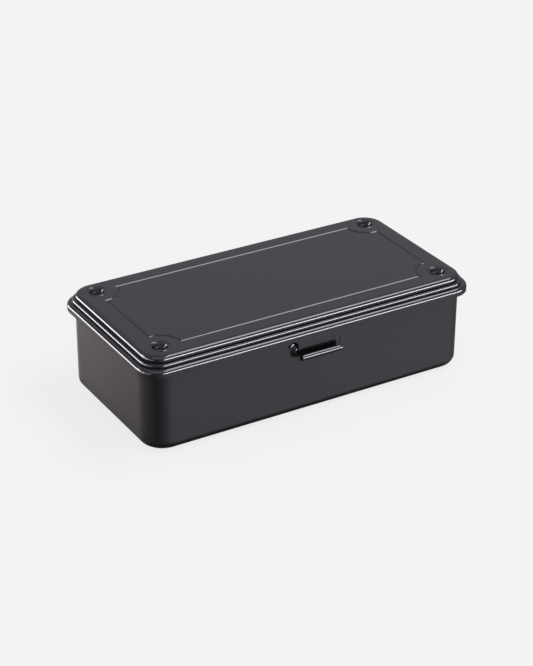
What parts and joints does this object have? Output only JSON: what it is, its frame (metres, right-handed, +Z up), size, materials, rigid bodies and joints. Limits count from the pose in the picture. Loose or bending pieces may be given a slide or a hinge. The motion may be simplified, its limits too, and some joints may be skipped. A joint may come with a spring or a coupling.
{
  "type": "metal lunch box",
  "caption": "Low oblong pressed steel box with a stepped, hinged lid, corner stacking dimples and a sprung front tab with a rolled finger lip.",
  "frame": {"origin": "centre of the whole footprint, latch lip and hinge barrels included, on the plane that the four pressed feet stand on", "axes": "+Z up out of the lid, +X along the box's length to the right as seen from the latch, -Y towards the latch, +Y towards the hinges"},
  "size_m": [0.203, 0.109, 0.0562],
  "materials": {
    "black_coating": "semi-gloss charcoal black baked coating on pressed steel",
    "zinc_plate": "dull zinc plated wire"
  },
  "bodies": {
    "box": {"tray": "black_coating", "hinge_leaf_left": "black_coating", "hinge_pin_left": "zinc_plate", "hinge_leaf_right": "black_coating", "hinge_pin_right": "zinc_plate", "hinge_rivet_left_outer": "black_coating", "hinge_rivet_left_inner": "black_coating", "hinge_rivet_right_outer": "black_coating", "hinge_rivet_right_inner": "black_coating"},
    "lid": {"lid": "black_coating"}
  },
  "joints": [
    {"name": "lid_hinge", "type": "hinge", "parent": "box", "child": "lid", "pos_m": [0, 0.05278, 0.0431], "axis": [-1, 0, 0], "range_deg": [0, 105]}
  ]
}
